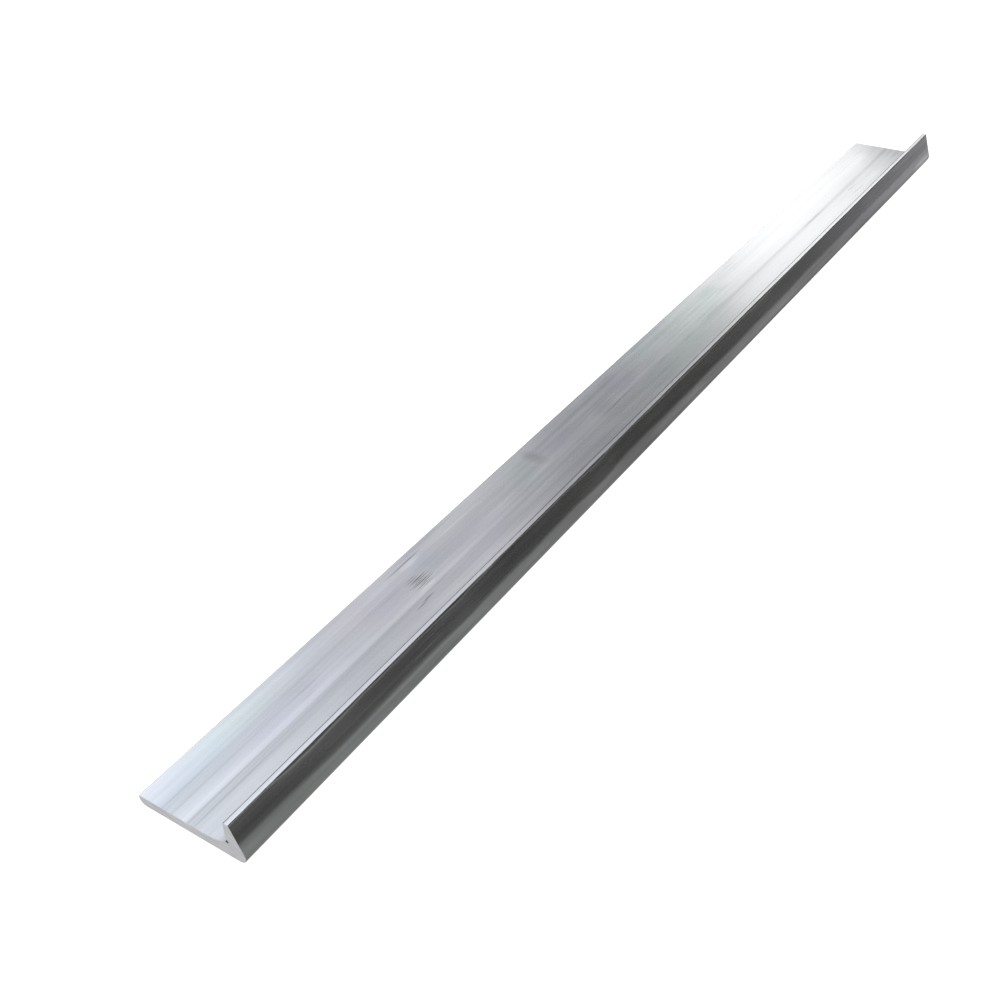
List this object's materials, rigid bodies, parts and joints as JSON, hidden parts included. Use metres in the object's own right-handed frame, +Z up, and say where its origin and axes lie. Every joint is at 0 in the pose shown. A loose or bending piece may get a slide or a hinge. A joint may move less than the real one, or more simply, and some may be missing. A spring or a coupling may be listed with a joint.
{
  "type": "aluminium screed profile",
  "caption": "Straight extruded bar for striking off concrete: flat base plate with rounded corner and a tapered lip leaning over one side.",
  "frame": {"origin": "on the floor, under the middle of the bar's overall length and width", "axes": "+X along the bar, +Z up, lip along the -Y side, free edge of the plate at +Y"},
  "size_m": [1.8, 0.14, 0.05],
  "materials": {
    "mill_aluminium": "mill finish with fine die lines along the bar; sawn ends"
  },
  "bodies": {
    "root": {"profile": "mill_aluminium"}
  },
  "joints": []
}
